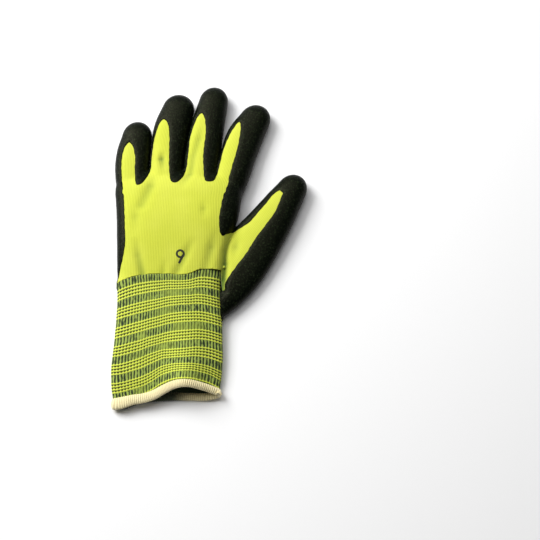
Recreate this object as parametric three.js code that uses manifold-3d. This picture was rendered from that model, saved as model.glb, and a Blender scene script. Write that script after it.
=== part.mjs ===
// A high-visibility knitted work glove for the left hand, lying on its palm: a seamless knitted hand,
// a latex coat dipped over the palm and the fingertips, a ribbed knitted cuff and the cuff's binding.
// Millimetres. +Y points to the fingertips, +X to the thumb, +Z up through the back of the hand.
// The origin is on the coat's resting face, under the middle of the palm.
import * as THREE from "three";
import Module from "manifold-3d";

const wasm = await Module();
wasm.setup();

// Driving dimensions: the thickness of each layer, the clearance between two layers, and how far the
// binding's roll reaches past the knit's edge.
const COAT = 1.2;
const CLEARANCE = 0.3;
const HAND_WALL = 1.2;
const CUFF_WALL = 1.8;
const BINDING_THICKNESS = 3.4;
const BINDING_LENGTH = 6.4;

// How far each surface of the hand lies inside the coat's outer surface.
const KNIT_OUTSIDE = -(COAT + CLEARANCE);
const KNIT_INSIDE = KNIT_OUTSIDE - HAND_WALL;

// Every section is widest at this share of its height. Its lower half is drawn deeper by this factor
// and cut off at the floor, which makes it flat where it rests.
const WIDEST_SHARE = 0.42;
const LOWER_REACH = 1.15;
// The exponent of each section's superellipse: 2 is an ellipse, and more is squarer.
const DIGIT_ROUNDNESS = 2.2;
const PALM_ROUNDNESS = 2.8;
const CUFF_ROUNDNESS = 2.5;

// Each digit is a row of sections from its root to the start of its rounded tip.
// Columns: x, y of the middle, half width, height above the floor.
const LITTLE_FINGER = [
  [-27.0, 16, 10.0, 14],
  [-30.0, 42, 12.9, 15],
  [-30.2, 61, 13.3, 14.5],
  [-28.1, 77.4, 11.8, 14],
];
const RING_FINGER = [
  [-4.6, 16, 11.0, 15],
  [-4.2, 42, 13.2, 15.5],
  [-3.2, 64, 13.4, 15],
  [-1.2, 84, 14.2, 15],
  [3.4, 101.6, 12.8, 14.5],
];
const MIDDLE_FINGER = [
  [20.6, 16, 11.0, 15.5],
  [22.6, 42, 13.6, 16],
  [24.0, 64, 14.0, 15.5],
  [26.8, 86, 13.3, 15],
  [31.2, 108.4, 11.6, 14.5],
];
const INDEX_FINGER = [
  [37.0, 10, 10.0, 15],
  [46.0, 41, 13.2, 16],
  [51.2, 61, 14.0, 15.5],
  [56.5, 78, 14.4, 15],
  [64.1, 92.6, 12.2, 14.5],
];
const THUMB = [
  [26.4, -65.6, 12.2, 10.5],
  [38.0, -51, 17.6, 11.5],
  [50.0, -34, 20.5, 12.5],
  [61.5, -16, 20.2, 13.5],
  [72.0, -1, 17.6, 14.5],
  [79.8, 11, 15.6, 15],
  [86.2, 21.5, 13.7, 15],
  [92.6, 31.8, 11.5, 14.5],
];
const TIP_LENGTH = 13.6;

// The palm and the back of the hand. Columns: y, left edge, right edge, height.
const PALM = [
  [-54, -35.2, 41.0, 15.5],
  [-40, -36.6, 42.6, 17.5],
  [-24, -37.4, 44.4, 19.5],
  [-8, -38.4, 47.4, 21],
  [6, -39.3, 51.8, 21.5],
  [20, -40.8, 54.0, 20.5],
  [31, -42.0, 55.0, 19],
  [38, -41.2, 55.2, 16.5],
  [44, -39.0, 54.0, 12.5],
  [48, -36.0, 52.0, 8],
];

// The cuff's tube of knit, from the wrist (0) to the mouth (1).
// Columns: share of the length, left edge, right edge, height of its flat part, height at the crest.
const CUFF = [
  [0, -36.0, 39.5, 16, 16],
  [0.1, -35.7, 39.6, 15.5, 16],
  [0.22, -35.6, 40.0, 14.5, 15.6],
  [0.35, -35.8, 40.8, 13.5, 15],
  [0.48, -36.2, 41.6, 12.5, 14.6],
  [0.6, -36.3, 42.3, 11.5, 14.4],
  [0.72, -37.4, 42.2, 10.5, 14.6],
  [0.83, -37.8, 41.6, 9.5, 15.2],
  [0.92, -36.6, 41.0, 8.4, 16],
  [1, -34.2, 40.0, 7.4, 16.6],
];
const CREST_X = 17;
const CREST_SPREAD = 15;
// The height of the cuff's underside: level with the hand's knit, then falling to the mouth.
const CUFF_REST = COAT + CLEARANCE;
const MOUTH_REST = 0.3;

// Where the cuff starts, and where its knit ends on the back and on the palm. Columns: x, y.
const WRIST = [
  [-36, -45],
  [-20, -40.8],
  [0, -39.8],
  [18, -39.4],
  [23, -37],
  [40, -35.5],
];
const MOUTH_BACK = [
  [-38, -128],
  [-33, -129.6],
  [-28, -130.4],
  [-14, -127.4],
  [1, -124.8],
  [12, -119.6],
  [19, -117.8],
  [28, -119],
  [35, -122.6],
  [41, -122.8],
];
const MOUTH_PALM = [
  [-38, -128],
  [-33, -130.6],
  [-28, -130.8],
  [-14, -125.6],
  [2, -123.2],
  [34, -123.4],
  [41, -122.8],
];

// The uncoated windows on the back. Columns: y, left edge, right edge.
const BACK_WINDOW = [
  [-46, -36.4, 43],
  [-32, -33.2, 43],
  [-16, -30.8, 43],
  [-10.6, -31.0, 41.2],
  [-8.4, -31.1, 39.6],
  [-5.5, -31.3, 38.7],
  [1, -31.9, 38.3],
  [12, -32.8, 39.3],
  [20, -33.6, 40.6],
  [31, -34.9, 43.0],
];
const LITTLE_WINDOW = [
  [26, -34.6, -22.6],
  [30, -35.2, -24.8],
  [36, -36.4, -26.2],
  [46, -37.4, -27.2],
  [56, -37.8, -27.6],
  [62, -37.0, -28.6],
  [67, -35.2, -30.4],
  [69.4, -33.2, -32.4],
];
const RING_WINDOW = [
  [26, -26.0, 4.5],
  [31, -21.6, 2.2],
  [36, -18.7, 0.5],
  [46, -15.8, -0.9],
  [62, -15.2, -1.6],
  [76, -13.2, -2.0],
  [84, -11.0, -3.2],
  [88, -9.2, -4.8],
  [89.6, -7.6, -6.6],
];
const MIDDLE_WINDOW = [
  [26, 1.0, 30.0],
  [31, 5.0, 28.0],
  [36, 8.4, 26.6],
  [48, 12.0, 25.2],
  [62, 13.2, 25.0],
  [76, 14.4, 26.2],
  [86, 17.0, 25.8],
  [92, 19.4, 24.6],
  [95, 21.4, 22.8],
];
const INDEX_WINDOW = [
  [26, 30.0, 41.8],
  [31, 32.2, 43.0],
  [36, 34.2, 44.3],
  [50, 37.4, 47.6],
  [64, 40.2, 51.0],
  [75, 44.2, 52.8],
  [82, 47.6, 53.2],
  [86, 50.2, 53.0],
  [87.6, 51.4, 52.4],
];
// The thumb's window is an outline. Columns: x, y.
const THUMB_WINDOW = [
  [39.8, -50.0],
  [44.6, -42.0],
  [51.4, -32.0],
  [58.6, -22.0],
  [65.6, -10.2],
  [73.4, 0.8],
  [81.2, 13.3],
  [85.2, 20.6],
  [85.8, 26.2],
  [85.2, 28.4],
  [83.6, 28.8],
  [79.4, 26.0],
  [73.4, 18.3],
  [67.0, 10.4],
  [61.2, 3.2],
  [54.4, -1.1],
  [47.2, -5.7],
  [40.4, -10.6],
];
const WINDOW_FLOOR = 8;

// How far the cutting blocks reach: under the glove, over it, to its sides and past the cuff's mouth.
const BELOW = -20;
const ABOVE = 60;
const SIDE_REACH = 90;
const FAR_END = -200;

// Beside the cuff, on the thumb side: where the hand's knit ends, and where the coat's bare back ends.
const KNIT_SIDE_X = 39.8;
const BARE_SIDE_X = 43;

// The coat's edge across the cuff's palm side. Columns: x, y.
const COAT_EDGE = [
  [-60, -44],
  [-37, -46],
  [-30, -56],
  [-18, -64],
  [0, -68.5],
  [20, -70],
  [41, -72],
  [70, -74],
];

const SECTION_SIDES = 16;
const PALM_SIDES = 24;
const CUFF_SIDES = 28;
const BINDING_STEPS = 48;
const BINDING_SIDES = 8;
const TIP_ANGLES = [28, 52, 72, 86];
// The turn to each side over which the mouth's direction is measured.
const RIM_TURN = 0.05;

// Straight-line reading of a column of a table whose first column rises.
function read(table, at, column = 1) {
  if (at <= table[0][0]) return table[0][column];
  for (let i = 1; i < table.length; i += 1) {
    const [before, after] = [table[i - 1], table[i]];
    if (at <= after[0]) {
      const share = (at - before[0]) / (after[0] - before[0]);
      return before[column] + share * (after[column] - before[column]);
    }
  }
  return table[table.length - 1][column];
}

function power(value, exponent) {
  return Math.sign(value) * Math.abs(value) ** exponent;
}

// A closed solid from triangles of points.
function solidOf(points, triangles) {
  const mesh = new wasm.Mesh({
    numProp: 3,
    vertProperties: new Float32Array(points.flat()),
    triVerts: new Uint32Array(triangles.flat()),
  });
  return new wasm.Manifold(mesh);
}

// A solid through rings of points that all have the same count, each end closed by a fan.
// The rings turn anticlockwise when they are seen from the first one, looking ahead.
function loft(rings) {
  const sides = rings[0].length;
  const points = rings.flat();
  const triangles = [];
  for (let r = 0; r + 1 < rings.length; r += 1) {
    for (let i = 0; i < sides; i += 1) {
      const a = r * sides + i;
      const b = r * sides + ((i + 1) % sides);
      triangles.push([a, b + sides, b], [a, a + sides, b + sides]);
    }
  }
  for (const [r, near] of [[0, true], [rings.length - 1, false]]) {
    const middle = [0, 1, 2].map((k) => rings[r].reduce((sum, p) => sum + p[k], 0) / sides);
    points.push(middle);
    for (let i = 0; i < sides; i += 1) {
      const a = r * sides + i;
      const b = r * sides + ((i + 1) % sides);
      triangles.push(near ? [a, b, points.length - 1] : [b, a, points.length - 1]);
    }
  }
  return solidOf(points, triangles);
}

// A section that lies on the floor: rounded over the top, flat where it rests.
// `across` is its sideways direction in plan, `scale` shrinks it towards its middle at a tip.
function section({ x, y, across, half, height, grow, scale = 1, sides, roundness }) {
  const middle = WIDEST_SHARE * height;
  const top = height + grow;
  const ring = [];
  for (let i = 0; i < sides; i += 1) {
    const turn = (2 * Math.PI * (i + 0.5)) / sides;
    const side = power(Math.cos(turn), 2 / roundness) * (half + grow) * scale;
    const lift = power(Math.sin(turn), 2 / roundness);
    const reach = lift > 0 ? top - middle : LOWER_REACH * (middle + grow);
    const lowest = middle - (middle + grow) * scale;
    const z = Math.max(middle + lift * reach * scale, lowest);
    ring.push([x + across[0] * side, y + across[1] * side, z]);
  }
  return ring;
}

// A digit: its sections square to its line in plan, then a rounded tip.
function digit(rows, grow) {
  const rings = [];
  const shape = { grow, sides: SECTION_SIDES, roundness: DIGIT_ROUNDNESS };
  rows.forEach(([x, y, half, height], i) => {
    const before = rows[Math.max(i - 1, 0)];
    const after = rows[Math.min(i + 1, rows.length - 1)];
    const ahead = new THREE.Vector2(after[0] - before[0], after[1] - before[1]).normalize();
    const across = [ahead.y, -ahead.x];
    rings.push(section({ x, y, across, half, height, ...shape }));
    if (i < rows.length - 1) return;
    for (const angle of TIP_ANGLES) {
      const turn = (angle * Math.PI) / 180;
      const along = (TIP_LENGTH + grow) * Math.sin(turn);
      const place = { x: x + ahead.x * along, y: y + ahead.y * along };
      const scale = Math.cos(turn);
      rings.push(section({ ...place, across, half, height, scale, ...shape }));
    }
  });
  return loft(rings);
}

function palm(grow) {
  const rings = PALM.map(([y, left, right, height]) => {
    const x = (left + right) / 2;
    const half = (right - left) / 2;
    const size = { half, height, grow, sides: PALM_SIDES, roundness: PALM_ROUNDNESS };
    return section({ x, y, across: [1, 0], ...size });
  });
  return loft(rings);
}

// A point of the cuff's knit, `turn` round the tube from the thumb side over the back,
// `share` of the way from the wrist to the mouth, `grow` outside the knit's outer face.
function cuffPoint(turn, share, grow) {
  const left = read(CUFF, share, 1);
  const right = read(CUFF, share, 2);
  const side = power(Math.cos(turn), 2 / CUFF_ROUNDNESS);
  const lift = power(Math.sin(turn), 2 / CUFF_ROUNDNESS);
  const x = (left + right) / 2 + side * ((right - left) / 2 + grow);
  const crest = Math.exp(-(((x - CREST_X) / CREST_SPREAD) ** 2));
  const flat = read(CUFF, share, 3);
  const height = flat + (read(CUFF, share, 4) - flat) * crest;
  const bottom = CUFF_REST + (MOUTH_REST - CUFF_REST) * Math.max(0, 2 * share - 1);
  const middle = bottom + WIDEST_SHARE * (height - bottom);
  const reach = lift > 0 ? height + grow - middle : LOWER_REACH * (middle - bottom + grow);
  const z = Math.max(middle + lift * reach, bottom - grow);
  const start = read(WRIST, x);
  const end = read(lift > 0 ? MOUTH_BACK : MOUTH_PALM, x);
  return [x, start + share * (end - start), z];
}

function cuffRing(share, grow) {
  const turns = Array.from({ length: CUFF_SIDES }, (_, i) => (2 * Math.PI * (i + 0.5)) / CUFF_SIDES);
  return turns.map((turn) => cuffPoint(turn, share, grow));
}

// The cuff's outer form as a whole solid, `lead` past the wrist line.
function cuffBody(grow, lead = 0) {
  const rings = CUFF.map(([share]) => cuffRing(share, grow));
  const first = rings[0].map(([x, y, z]) => [x, y + lead, z]);
  return loft([first, ...rings].reverse());
}

// The cuff's tube of knit: the outer face, the mouth's edge, the inner face and the wrist's edge.
function cuffTube() {
  const outer = CUFF.map(([share]) => cuffRing(share, 0));
  const inner = CUFF.map(([share]) => cuffRing(share, -CUFF_WALL)).reverse();
  const rings = [...outer, ...inner];
  const points = rings.flat();
  const triangles = [];
  rings.forEach((_, r) => {
    const next = (r + 1) % rings.length;
    for (let i = 0; i < CUFF_SIDES; i += 1) {
      const j = (i + 1) % CUFF_SIDES;
      const [a, b] = [r * CUFF_SIDES + i, r * CUFF_SIDES + j];
      const [c, d] = [next * CUFF_SIDES + i, next * CUFF_SIDES + j];
      triangles.push([a, b, c], [b, d, c]);
    }
  });
  return solidOf(points, triangles);
}

// The overlocked roll round the mouth: a flat oval carried along the knit's edge.
function bindingRoll() {
  const points = [];
  const triangles = [];
  const count = BINDING_STEPS;
  for (let i = 0; i < count; i += 1) {
    const turn = (2 * Math.PI * (i + 0.5)) / count;
    const at = (angle) => new THREE.Vector3(...cuffPoint(angle, 1, -CUFF_WALL / 2));
    const rim = at(turn);
    const round = at(turn + RIM_TURN).sub(at(turn - RIM_TURN)).normalize();
    const out = new THREE.Vector3(0, -1, 0).addScaledVector(round, round.y).normalize();
    const away = new THREE.Vector3().crossVectors(round, out).normalize();
    const centre = rim.clone().addScaledVector(out, BINDING_LENGTH / 2 + 2 * CLEARANCE);
    for (let k = 0; k < BINDING_SIDES; k += 1) {
      const angle = (2 * Math.PI * k) / BINDING_SIDES;
      const point = centre.clone();
      point.addScaledVector(out, (Math.cos(angle) * BINDING_LENGTH) / 2);
      point.addScaledVector(away, (Math.sin(angle) * BINDING_THICKNESS) / 2);
      points.push([point.x, point.y, Math.max(point.z, 0)]);
      const [a, b] = [i * BINDING_SIDES + k, i * BINDING_SIDES + ((k + 1) % BINDING_SIDES)];
      const next = (p) => (p + BINDING_SIDES) % (count * BINDING_SIDES);
      triangles.push([a, next(b), next(a)], [a, b, next(b)]);
    }
  }
  return solidOf(points, triangles);
}

// An upright block over an outline in plan, from `low` to `high`.
function block(outline, low, high) {
  const shape = new THREE.Shape(outline.map(([x, y]) => new THREE.Vector2(x, y)));
  const depth = high - low;
  const geometry = new THREE.ExtrudeGeometry(shape, { depth, bevelEnabled: false });
  geometry.translate(0, 0, low);
  const place = geometry.getAttribute("position");
  const keys = new Map();
  const points = [];
  const corners = [];
  for (let i = 0; i < place.count; i += 1) {
    const point = [place.getX(i), place.getY(i), place.getZ(i)];
    const key = point.map((v) => v.toFixed(4)).join();
    if (!keys.has(key)) {
      keys.set(key, points.length);
      points.push(point);
    }
    corners.push(keys.get(key));
  }
  const triangles = [];
  for (let i = 0; i < corners.length; i += 3) triangles.push(corners.slice(i, i + 3));
  return solidOf(points, triangles);
}

function windowBlock(rows) {
  const left = rows.map(([y, x]) => [x, y]);
  const right = rows.map(([y, , x]) => [x, y]).reverse();
  return block([...left, ...right], WINDOW_FLOOR, ABOVE);
}

// The whole hand without its cuff, `grow` outside the coat's outer face.
function hand(grow) {
  const digits = [LITTLE_FINGER, RING_FINGER, MIDDLE_FINGER, INDEX_FINGER, THUMB];
  return digits.reduce((body, rows) => body.add(digit(rows, grow)), palm(grow));
}

// All that lies beyond a line in plan on the cuff's side, from `low` up, as far as `right` in x.
function beyond(line, right, low) {
  const start = [-SIDE_REACH, line[0][1]];
  const end = [right, line[line.length - 1][1]];
  return block([start, ...line, end, [right, FAR_END], [-SIDE_REACH, FAR_END]], low, ABOVE);
}

// The wrist line as the cuff's first ring draws it.
function wristLine() {
  const back = cuffRing(0, 0).slice(0, CUFF_SIDES / 2);
  return back.reverse().map(([x, y]) => [x, y + CLEARANCE]);
}

function knitHand() {
  const body = hand(KNIT_OUTSIDE).subtract(hand(KNIT_INSIDE));
  const pastWrist = beyond(wristLine(), KNIT_SIDE_X, BELOW);
  return body.subtract(pastWrist).subtract(cuffBody(CLEARANCE, CLEARANCE));
}

function palmCoat() {
  const outside = hand(0).add(cuffBody(COAT + CLEARANCE));
  const inside = hand(-COAT).add(cuffBody(CLEARANCE, CLEARANCE));
  const windows = [BACK_WINDOW, LITTLE_WINDOW, RING_WINDOW, MIDDLE_WINDOW, INDEX_WINDOW];
  const cuts = windows.map(windowBlock);
  cuts.push(block(THUMB_WINDOW, WINDOW_FLOOR, ABOVE));
  cuts.push(beyond(COAT_EDGE, SIDE_REACH, BELOW));
  cuts.push(beyond(wristLine(), BARE_SIDE_X, WINDOW_FLOOR));
  return cuts.reduce((coat, cut) => coat.subtract(cut), outside.subtract(inside));
}

function meshOf(name, solid, { color, roughness }) {
  const { vertProperties, triVerts } = solid.getMesh();
  const geometry = new THREE.BufferGeometry();
  geometry.setAttribute("position", new THREE.BufferAttribute(vertProperties, 3));
  geometry.setIndex(new THREE.BufferAttribute(triVerts, 1));
  geometry.computeVertexNormals();
  const material = new THREE.MeshStandardMaterial({ color, roughness, metalness: 0 });
  const mesh = new THREE.Mesh(geometry, material);
  mesh.name = name;
  return mesh;
}

const glove = new THREE.Group();
glove.add(
  meshOf("knit_hand", knitHand(), { color: 0xdbe048, roughness: 0.85 }),
  meshOf("palm_coating", palmCoat(), { color: 0x1c231b, roughness: 0.7 }),
  meshOf("knit_cuff", cuffTube(), { color: 0x9dab44, roughness: 0.85 }),
  meshOf("cuff_binding", bindingRoll(), { color: 0xe4d8ab, roughness: 0.95 }),
);

export default glove;
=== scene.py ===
"""A high-visibility knitted work glove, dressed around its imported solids.

+Y points to the fingertips, +X to the thumb and +Z up through the back of the hand. Tables are in
millimetres, and each mesh is turned to metres when it is made.
"""

import bpy
import numpy as np
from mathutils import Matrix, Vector


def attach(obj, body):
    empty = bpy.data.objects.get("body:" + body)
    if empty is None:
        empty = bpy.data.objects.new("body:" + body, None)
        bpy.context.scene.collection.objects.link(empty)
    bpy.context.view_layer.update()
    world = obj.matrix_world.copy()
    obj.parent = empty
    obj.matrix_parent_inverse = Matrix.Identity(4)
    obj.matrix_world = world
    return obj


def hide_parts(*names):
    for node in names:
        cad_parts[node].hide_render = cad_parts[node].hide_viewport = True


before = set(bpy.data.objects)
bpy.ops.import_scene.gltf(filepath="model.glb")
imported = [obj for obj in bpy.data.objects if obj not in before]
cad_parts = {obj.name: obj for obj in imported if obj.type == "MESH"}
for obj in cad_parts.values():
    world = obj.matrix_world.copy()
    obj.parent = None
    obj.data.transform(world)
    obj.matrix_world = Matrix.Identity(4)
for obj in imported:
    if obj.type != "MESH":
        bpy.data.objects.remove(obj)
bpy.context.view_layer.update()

# The knitted hand.
# One seamless tube of fluorescent yellow yarn with five closed fingers, knitted in one go from the
# fingertips to the wrist, where the ribbed cuff is knitted on. It lies empty on its palm.

MM = 0.001
COAT = 1.2
CLEARANCE = 0.3
KNIT_OUTSIDE = -(COAT + CLEARANCE)
HAND_WALL = 1.2
TIP_LENGTH = 13.6
CUFF_LENGTH = 84
# How far the knit's face lies outside the plain form that the tables give.
KNIT_LIFT = 0.9

# The roundness of a section is its superellipse's exponent: 2 is an ellipse, and more is squarer.
DIGIT_ROUNDNESS = 2.2
PALM_ROUNDNESS = 2.8
CUFF_ROUNDNESS = 2.5
# The share of its height at which a section is widest, and how much too deep its lower half is.
WIDEST_AT = 0.42
LOWER_DEPTH = 1.15
CUFF_LOWER_DEPTH = 1.12

# Columns: x, y of the middle, half width, height above the floor.
LITTLE_FINGER = [
    (-27.0, 16, 10.0, 14),
    (-30.0, 42, 12.9, 15),
    (-30.2, 61, 13.3, 14.5),
    (-28.1, 77.4, 11.8, 14),
]
RING_FINGER = [
    (-4.6, 16, 11.0, 15),
    (-4.2, 42, 13.2, 15.5),
    (-3.2, 64, 13.4, 15),
    (-1.2, 84, 14.2, 15),
    (3.4, 101.6, 12.8, 14.5),
]
MIDDLE_FINGER = [
    (20.6, 16, 11.0, 15.5),
    (22.6, 42, 13.6, 16),
    (24.0, 64, 14.0, 15.5),
    (26.8, 86, 13.3, 15),
    (31.2, 108.4, 11.6, 14.5),
]
INDEX_FINGER = [
    (37.0, 10, 10.0, 15),
    (46.0, 41, 13.2, 16),
    (51.2, 61, 14.0, 15.5),
    (56.5, 78, 14.4, 15),
    (64.1, 92.6, 12.2, 14.5),
]
THUMB = [
    (26.4, -65.6, 12.2, 10.5),
    (38.0, -51, 17.6, 11.5),
    (50.0, -34, 20.5, 12.5),
    (61.5, -16, 20.2, 13.5),
    (72.0, -1, 17.6, 14.5),
    (79.8, 11, 15.6, 15),
    (86.2, 21.5, 13.7, 15),
    (92.6, 31.8, 11.5, 14.5),
]
DIGITS = [LITTLE_FINGER, RING_FINGER, MIDDLE_FINGER, INDEX_FINGER, THUMB]

# Columns: y, left edge, right edge, height.
PALM = [
    (-54, -35.2, 41.0, 15.5),
    (-40, -36.6, 42.6, 17.5),
    (-24, -37.4, 44.4, 19.5),
    (-8, -38.4, 47.4, 21),
    (6, -39.3, 51.8, 21.5),
    (20, -40.8, 54.0, 20.5),
    (31, -42.0, 55.0, 19),
    (38, -41.2, 55.2, 16.5),
    (44, -39.0, 54.0, 12.5),
    (48, -36.0, 52.0, 8),
]

# Columns: share of the cuff's length, left edge, right edge, height of its flat part, of its crest.
CUFF = [
    (0, -36.0, 39.5, 16, 16),
    (0.1, -35.7, 39.6, 15.5, 16),
    (0.22, -35.6, 40.0, 14.5, 15.6),
    (0.35, -35.8, 40.7, 13.5, 15),
    (0.48, -36.2, 41.6, 12.5, 14.6),
    (0.6, -36.8, 41.9, 11.5, 14.4),
    (0.72, -37.5, 42.3, 10.5, 14.6),
    (0.83, -37.3, 42.0, 9.5, 15.2),
    (0.92, -36.6, 41.4, 8.4, 16),
    (1, -35.4, 40.4, 7.4, 16.6),
]
CREST_X = 17
CREST_SPREAD = 15
# How far the cuff's underside comes down to the floor for each share of its length past half way.
CUFF_SINK = 2.4
# How far the cuff's form reaches past the wrist line, into the palm.
CUFF_LEAD = 2.0

# Columns: x, y. The wrist line, and where the cuff's knit ends on the back and on the palm.
WRIST = [(-36, -45), (-20, -40.8), (0, -39.8), (18, -39.4), (23, -37), (40, -35.5)]
MOUTH_BACK = [
    (-38, -129),
    (-33, -129.2),
    (-28, -128.4),
    (-21, -127.1),
    (-14, -126.2),
    (-7, -124.2),
    (0, -121),
    (6, -119),
    (12, -118.1),
    (19, -118.1),
    (26, -119),
    (33, -120.4),
    (41, -122.6),
]
MOUTH_PALM = [
    (-38, -129),
    (-33, -129),
    (-28, -128.2),
    (-14, -125),
    (2, -124),
    (20, -124.8),
    (34, -124.6),
    (41, -122.6),
]

# Soft troughs in the knit, as straight pieces that follow each other along a fold.
# Columns: x, y of one end, x, y of the other, half width, depth at the one end and at the other.
FOLDS = [
    (-6.9, 62, -7.2, 55, 2.6, 0, 1.9),
    (-7.2, 55, -5.4, 44, 2.7, 1.9, 0.4),
    (-5.4, 44, -8.9, 35, 3.2, 0.4, 0),
    (-11.5, 43, -14, 30, 4.0, 0, 1.2),
    (-14, 30, -20, 14, 4.5, 1.2, 1.0),
    (-20, 14, -27, 6, 4.5, 1.0, 0),
    (-24.7, 20, -24, 4, 4.0, 0, 0.8),
    (-24, 4, -23.2, -12, 4.0, 0.8, 0),
    (-23.6, -10, -20.5, -26, 3.0, 0, 1.2),
    (-20.5, -26, -17, -40, 3.0, 1.2, 1.6),
    (24.0, 86, 21.2, 72, 3.0, 0, 1.1),
    (21.2, 72, 17.2, 57, 3.2, 1.1, 1.1),
    (17.2, 57, 15.2, 42, 3.2, 1.1, 1.3),
    (15.2, 42, 8.3, 27, 3.2, 1.3, 0),
    (26.2, 18, 27, 10, 2.8, 0, 0.8),
    (27, 10, 27.8, 2, 2.8, 0.8, 0),
    (20.5, -12, 14, -26, 3.2, 0, 1.2),
    (14, -26, 7.8, -40, 3.2, 1.2, 1.0),
    (-0.8, -28, -1.7, -40, 2.4, 0, 0.8),
    (36.5, -4, 33, -20, 3.6, 0, 1.1),
    (33, -20, 28.9, -36, 3.6, 1.1, 0.8),
    (46, -8, 42.9, -21, 2.0, 0.8, 1.7),
    (42.9, -21, 42.7, -30, 2.4, 1.7, 2.2),
    (42.7, -30, 41.8, -42, 2.9, 2.2, 2.4),
    (41.8, -42, 40.8, -52, 3.0, 2.4, 2.4),
    (54, -7, 51, -17, 3.2, 0, 1.0),
    (51, -17, 48.6, -28, 3.2, 1.0, 0),
]
DEEPEST_FOLD = 2.4
FOLD_JOIN = 8


def smooth_read(table, at, column):
    """Reads a table's column at places along its first column, on a curve through its rows.

    Between two rows the curve is a cubic whose slope at each row is the slope between the rows
    beside it, so it passes through every row without a corner.
    """
    rows = np.array(table, float)
    key, value = rows[:, 0], rows[:, column]
    slope = np.gradient(value, key)
    at = np.clip(at, key[0], key[-1])
    i = np.clip(np.searchsorted(key, at, side="right") - 1, 0, len(key) - 2)
    span = key[i + 1] - key[i]
    t = (at - key[i]) / span
    start = (1 + 2 * t) * (1 - t) ** 2 * value[i] + t * (1 - t) ** 2 * span * slope[i]
    end = t * t * (3 - 2 * t) * value[i + 1] + t * t * (t - 1) * span * slope[i + 1]
    return start + end


def power(value, exponent):
    """The exponent of a number's size, with the number's own sign."""
    return np.sign(value) * np.abs(value) ** exponent


def lying_sections(place, across, half, height, grow, scale, sides, roundness):
    """Closed sections that lie on the floor, one row of points for each place of a line in plan.

    A section is a superellipse: the cosine of the turn gives how far a point is to the side, the
    sine how high it is, each raised to two over the roundness. Its lower half is a little too deep
    and is cut off at the floor, so it is flat where it rests. Scale shrinks it to its middle.
    """
    turn = 2 * np.pi * (np.arange(sides) + 0.5) / sides
    middle = (WIDEST_AT * height)[:, None]
    side = power(np.cos(turn), 2 / roundness) * ((half + grow) * scale)[:, None]
    lift = power(np.sin(turn), 2 / roundness)[None, :]
    reach = np.where(lift > 0, (height + grow)[:, None] - middle, LOWER_DEPTH * (middle + grow))
    lowest = middle - (middle + grow) * scale[:, None]
    z = np.maximum(middle + lift * reach * scale[:, None], lowest)
    x = place[:, :1] + across[:, :1] * side
    y = place[:, 1:] + across[:, 1:] * side
    return np.stack([x, y, z], axis=2)


def digit_line(rows, steps=40):
    """A digit's line in plan with its half width and height, on a curve through its rows."""
    table = [(i, *row) for i, row in enumerate(rows)]
    at = np.linspace(0, len(rows) - 1, steps)
    x, y, half, height = (smooth_read(table, at, column) for column in (1, 2, 3, 4))
    return np.stack([x, y], axis=1), half, height


def digit(rows, grow, sides=56):
    """A finger: its sections square to its line, then a tip whose sections shrink as a quarter
    circle's cosine while they move on by its sine."""
    place, half, height = digit_line(rows)
    ahead = np.gradient(place, axis=0)
    ahead /= np.linalg.norm(ahead, axis=1)[:, None]
    turn = np.radians(np.linspace(4, 89, 16))
    tip = place[-1] + ahead[-1] * ((TIP_LENGTH + grow) * np.sin(turn))[:, None]
    scale = np.concatenate([np.ones(len(place)), np.cos(turn)])
    place = np.concatenate([place, tip])
    ahead = np.concatenate([ahead, np.repeat(ahead[-1:], len(turn), axis=0)])
    half = np.concatenate([half, np.full(len(turn), half[-1])])
    height = np.concatenate([height, np.full(len(turn), height[-1])])
    across = np.stack([ahead[:, 1], -ahead[:, 0]], axis=1)
    return lying_sections(place, across, half, height, grow, scale, sides, DIGIT_ROUNDNESS)


def palm(grow, sides=160):
    """The palm's sections across the hand, closely spaced from the wrist to the finger roots."""
    y = np.linspace(PALM[0][0], PALM[-1][0], 80)
    left, right, height = (smooth_read(PALM, y, column) for column in (1, 2, 3))
    place = np.stack([(left + right) / 2, y], axis=1)
    across = np.tile([1.0, 0.0], (len(y), 1))
    half = (right - left) / 2
    scale = np.ones(len(y))
    return lying_sections(place, across, half, height, grow, scale, sides, PALM_ROUNDNESS)


def cuff_form(turn, share, grow):
    """Points of the cuff's outer form, from the turn round the tube and the share of its length.

    Sideways it is a superellipse between its edges. Its top is a flat height plus a crest, a bell
    curve across the tube, and its underside is flat on the floor. Along the tube each point lies
    at its share of the way from the wrist line to the mouth's line.
    """
    left, right, flat, top = (smooth_read(CUFF, share, column) for column in (1, 2, 3, 4))
    x = (left + right) / 2 + power(np.cos(turn), 2 / CUFF_ROUNDNESS) * ((right - left) / 2 + grow)
    height = flat + (top - flat) * np.exp(-(((x - CREST_X) / CREST_SPREAD) ** 2))
    bottom = COAT + CLEARANCE - CUFF_SINK * np.maximum(0, share - 0.5)
    middle = bottom + WIDEST_AT * (height - bottom)
    lift = power(np.sin(turn), 2 / CUFF_ROUNDNESS)
    reach = np.where(lift > 0, height + grow - middle, CUFF_LOWER_DEPTH * (middle - bottom + grow))
    z = np.maximum(middle + lift * reach, bottom - grow)
    start = smooth_read(WRIST, x, 1)
    end = np.where(lift > 0, smooth_read(MOUTH_BACK, x, 1), smooth_read(MOUTH_PALM, x, 1))
    return np.stack([x, start + share * (end - start), z], axis=-1)


def cuff_body(grow, sides=120):
    """The cuff's form as closed sections, from a little inside the palm to its mouth."""
    turn = 2 * np.pi * (np.arange(sides) + 0.5) / sides
    share = np.linspace(1, 0, 60)
    rings = cuff_form(turn[None, :], share[:, None], grow)
    lead = rings[-1:] + np.array([0, CUFF_LEAD, 0])
    return np.concatenate([rings, lead])


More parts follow.
